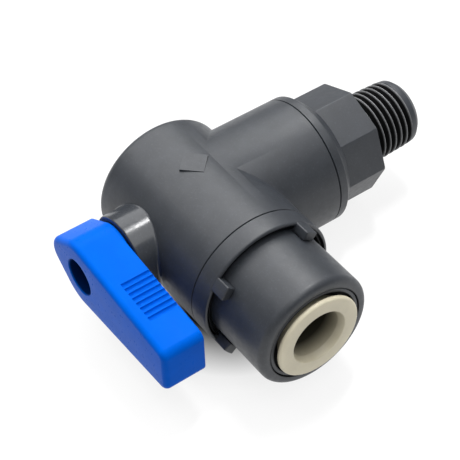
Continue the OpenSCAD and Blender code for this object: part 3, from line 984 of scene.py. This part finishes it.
class VALVE_OT_make_collet(bpy.types.Operator):
    """Build the release collet: rounded flange, flared mouth and slotted fingers"""

    bl_idname = "valve.make_collet"
    bl_label = "Release collet"

    def execute(self, context):
        size = context.scene.valve_collet
        socket = context.scene.valve_socket
        mouth = context.scene.valve_housing.barrel_front + socket.nose_length
        end = mouth + size.flange_proud
        back = end - size.flange_length
        slot_size, slot_middle = (8 * MM, 0.9 * MM, 12 * MM), (6.5 * MM, 0, FINGER_END)
        piece = solid("release_collet", lathed(OUTLET, [
            (FINGER_RADIUS, FINGER_END, 0),
            (7.38 * MM, FINGER_END, 0.1 * MM),
            (size.sleeve_radius, CONE_END, 0),
            (size.sleeve_radius, back, 0.1 * MM),
            (size.flange_radius, back, size.back_round),
            (size.flange_radius, end, size.rim_round),
            (size.mouth_radius, end, 0.22 * MM),
            (FINGER_RADIUS, end - 1.3 * MM, 0.3 * MM),
        ], steps=8))
        slots = bmesh.new()
        for i in range(FINGERS):
            made = box_of(slots, slot_size, slot_middle)
            turn_round(slots, math.radians(360 / FINGERS * i), "Z", made)
        bmesh.ops.transform(slots, matrix=along(OUTLET), verts=slots.verts)
        combine(piece, slots, "DIFFERENCE")
        plastic = finish_of("collet_plastic")
        finish_piece(piece, "release_collet", "collet_plastic", plastic, "collet", angle=30)
        return {"FINISHED"}


class VALVE_OT_make_lever(bpy.types.Operator):
    """Build the lever: heeled hub, tapered handle, rounded edges, grip grooves and screw hole"""

    bl_idname = "valve.make_lever"
    bl_label = "Lever"

    def execute(self, context):
        size = context.scene.valve_lever
        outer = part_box("lever")[0].y
        inner = -context.scene.valve_housing.boss_length - size.boss_gap
        tip_along, tip_up = size.lever_length - size.tip_corner, size.tip_top - size.tip_corner
        rounds = [
            (size.hub_radius, 0, 0, 144),
            (size.heel_radius, -size.heel_back, size.heel_up, 144),
            (size.tip_corner, tip_along, tip_up, 64),
            (size.tip_corner, tip_along, size.tip_corner - size.tip_bottom, 64),
        ]
        bm = bmesh.new()
        for radius, x, z, segments in rounds:
            made = prism(bm, radius, outer, inner, segments=segments)
            turn_round(bm, math.radians(-90), "X", made)
            bmesh.ops.translate(bm, vec=(x, 0, z), verts=made)
        hull = bmesh.ops.convex_hull(bm, input=bm.verts)
        inside = hull["geom_interior"] + hull["geom_unused"]
        spare = {g for g in inside if isinstance(g, bmesh.types.BMVert)}
        bmesh.ops.delete(bm, geom=list(spare), context="VERTS")
        flat = math.radians(0.4)
        bmesh.ops.dissolve_limit(bm, angle_limit=flat, verts=bm.verts, edges=bm.edges)
        bmesh.ops.recalc_face_normals(bm, faces=bm.faces)
        for place, offset, segments in ((outer, size.outer_edge, 8), (inner, size.inner_edge, 4)):
            rim = [e for e in bm.edges if all(abs(v.co.y - place) < 1e-6 for v in e.verts)]
            round_edges(bm, rim, offset, segments, clamp_overlap=False)
        bmesh.ops.remove_doubles(bm, verts=bm.verts, dist=1e-6)
        piece = solid("lever_handle", bm)

        face, floor = -outer, -outer - size.hole_depth
        combine(piece, lathed(LEVER, [
            (0, floor, 0),
            (size.hole_radius, floor, 0.2 * MM),
            (size.hole_radius, face - 0.35 * MM, 0),
            (size.hole_radius + 0.4 * MM, face + 0.1 * MM, 0),
            (0, face + 0.1 * MM, 0),
        ], segments=96), "DIFFERENCE")
        slope = math.atan2(tip_up, tip_along) - math.asin(
            (size.hub_radius - size.tip_corner) / math.hypot(tip_along, tip_up)
        )
        grooves = bmesh.new()
        for i in range(size.groove_count):
            made = prism(grooves, size.groove_radius, outer + size.groove_margin, inner + MM, 32)
            turn_round(grooves, math.radians(-90), "X", made)
            place = (size.groove_start + i * size.groove_pitch, 0, size.hub_radius)
            bmesh.ops.translate(grooves, vec=place, verts=made)
        turn_round(grooves, -slope, "Y", grooves.verts)
        combine(piece, grooves, "DIFFERENCE")

        collar, hole, start, end = size.hub_radius - 0.3 * MM, 3.7 * MM, 16.7 * MM, 18 * MM
        absorb(piece, solid("lever_collar", lathed(LEVER, [
            (hole, start, 0),
            (collar, start, SMALL_ROUND),
            (collar, end, 0),
            (hole, end, 0),
        ], segments=96)))
        plastic = finish_of("lever_plastic")
        finish_piece(piece, "handle", "lever_plastic", plastic, "lever", angle=24)
        return {"FINISHED"}


class VALVE_OT_dress_inner_pieces(bpy.types.Operator):
    """Give the ball, seats, seals, stem, screw and teeth their finishes"""

    bl_idname = "valve.dress_inner_pieces"
    bl_label = "Inner pieces"

    def execute(self, context):
        finishes = {
            "ball": "ball_metal",
            "inlet_seat": "seat_plastic",
            "outlet_seat": "seat_plastic",
            "stem_washer": "seat_plastic",
            "backup_washer": "seat_plastic",
            "stem": "housing_plastic",
            "lever_screw": "screw_steel",
            "grip_teeth": "screw_steel",
            "adapter_seal": "seal_rubber",
            "socket_seal": "seal_rubber",
            "tube_seal": "seal_rubber",
            "inner_stem_seal": "seal_rubber",
            "outer_stem_seal": "seal_rubber",
        }
        for name, slot in finishes.items():
            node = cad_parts[name]
            node.data.materials.clear()
            node.data.materials.append(finish_of(slot))
        return {"FINISHED"}


class VALVE_OT_set_stage(bpy.types.Operator):
    """Set the pale floor, the soft studio lights and the camera"""

    bl_idname = "valve.set_stage"
    bl_label = "Studio"

    def execute(self, context):
        scene, look = context.scene, context.scene.valve_stage
        floor_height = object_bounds()[0].z - 0.02 * MM
        bm = bmesh.new()
        bmesh.ops.create_grid(bm, x_segments=8, y_segments=8, size=1.6)
        bmesh.ops.translate(bm, vec=(0, 0, floor_height), verts=bm.verts)
        floor = solid("studio_floor", bm)
        # Where its glow fades under the valve, the floor has a painted shadow
        paper, shader, place = glowing_paper(
            "studio_paper", look.floor, roughness=0.9, edge=0.85, strength=look.floor_glow
        )
        tone = spread(paper, noise(paper, place, 0.2, detail=2), 0, 1)
        mixed = blend_colours(paper, tone, scaled(look.floor, 0.995), scaled(look.floor, 1.005))
        paper.node_tree.links.new(mixed, shader.inputs["Base Color"])
        shader.inputs["Specular IOR Level"].default_value = 0.1
        floor.data.materials.append(paper)
        floor.visible_diffuse = False
        floor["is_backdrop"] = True

        card = bpy.data.objects.new("bounce_card", floor.data.copy())
        scene.collection.objects.link(card)
        paper = glowing_paper("bounce_paper", (0, 0, 0), roughness=1, edge=1, strength=look.bounce)[0]
        card.data.materials.clear()
        card.data.materials.append(paper)
        card.visible_camera = card.visible_glossy = card.visible_shadow = False
        card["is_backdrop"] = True

        world = bpy.data.worlds.new("studio_sky")
        world.use_nodes = True
        nodes, links = world.node_tree.nodes, world.node_tree.links
        sky = nodes["Background"]
        sky.inputs["Strength"].default_value = look.sky
        direction = nodes.new("ShaderNodeTexCoord")
        height = nodes.new("ShaderNodeSeparateXYZ")
        links.new(direction.outputs["Generated"], height.inputs["Vector"])
        lift = nodes.new("ShaderNodeMapRange")
        lift.interpolation_type = "SMOOTHSTEP"
        for name, value in SKY_RAMP.items():
            lift.inputs[name].default_value = value
        links.new(height.outputs["Z"], lift.inputs["Value"])
        links.new(lift.outputs["Result"], sky.inputs["Color"])
        scene.world = world

        for name, place, sides, power in SOFTBOXES:
            light = bpy.data.lights.new(name, "AREA")
            light.shape = "RECTANGLE"
            light.size, light.size_y = sides
            light.energy = power
            lamp = bpy.data.objects.new(name, light)
            scene.collection.objects.link(lamp)
            lamp.location = place
            lamp.rotation_euler = (-Vector(place)).to_track_quat("-Z", "Y").to_euler()

        back = Vector((
            math.sin(look.azimuth) * math.cos(look.elevation),
            -math.cos(look.azimuth) * math.cos(look.elevation),
            math.sin(look.elevation),
        ))
        right = Vector((math.cos(look.azimuth), math.sin(look.azimuth), 0))
        up = back.cross(right)
        cos_roll, sin_roll = math.cos(look.roll), math.sin(look.roll)
        right_rolled = right * cos_roll + up * sin_roll
        up_rolled = up * cos_roll - right * sin_roll
        camera = bpy.data.objects.new("camera", bpy.data.cameras.new("camera"))
        scene.collection.objects.link(camera)
        turn = Matrix((right_rolled, up_rolled, back)).transposed()
        camera.matrix_world = Matrix.Translation(
            back * look.distance + right_rolled * look.aside - up_rolled * look.lower
        ) @ turn.to_4x4()
        camera.data.sensor_width = 36
        camera.data.lens = look.lens
        camera.data.clip_start, camera.data.clip_end = 0.01, 10
        scene.camera = camera
        scene.view_settings.view_transform = "Standard"
        return {"FINISHED"}


class VALVE_PT_looks(bpy.types.Panel):
    """Lists the valve's groups of pieces"""

    bl_idname = "VALVE_PT_looks"
    bl_label = "Push-fit angle valve"
    bl_space_type = "VIEW_3D"
    bl_region_type = "UI"
    bl_category = "Valve"

    def draw(self, context):
        for operator in OPERATORS:
            self.layout.operator(operator.bl_idname)
        for name, group in GROUPS.items():
            box = self.layout.box()
            box.label(text=group.__doc__)
            for key in group.__annotations__:
                box.prop(getattr(context.scene, name), key)


GROUPS = {
    "valve_housing": HousingSizes,
    "valve_inlet": InletSizes,
    "valve_socket": SocketSizes,
    "valve_collet": ColletSizes,
    "valve_lever": LeverSizes,
    "valve_finishes": Finishes,
    "valve_stage": StageSettings,
}
OPERATORS = [
    VALVE_OT_dress_housing,
    VALVE_OT_make_inlet_fitting,
    VALVE_OT_make_locking_ring,
    VALVE_OT_make_tube_nose,
    VALVE_OT_make_collet,
    VALVE_OT_make_lever,
    VALVE_OT_dress_inner_pieces,
    VALVE_OT_set_stage,
]


def register():
    for group in GROUPS.values():
        bpy.utils.register_class(group)
    for name, group in GROUPS.items():
        setattr(bpy.types.Scene, name, bpy.props.PointerProperty(type=group))
    for operator in OPERATORS:
        bpy.utils.register_class(operator)
    bpy.utils.register_class(VALVE_PT_looks)


def unregister():
    bpy.utils.unregister_class(VALVE_PT_looks)
    for operator in reversed(OPERATORS):
        bpy.utils.unregister_class(operator)
    for name in GROUPS:
        delattr(bpy.types.Scene, name)
    for group in GROUPS.values():
        bpy.utils.unregister_class(group)


def main():
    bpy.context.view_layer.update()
    register()
    bpy.ops.valve.dress_housing()
    bpy.ops.valve.make_inlet_fitting()
    bpy.ops.valve.make_locking_ring()
    bpy.ops.valve.make_tube_nose()
    bpy.ops.valve.make_collet()
    bpy.ops.valve.make_lever()
    bpy.ops.valve.dress_inner_pieces()
    bpy.ops.valve.set_stage()


if __name__ == "__main__":
    main()
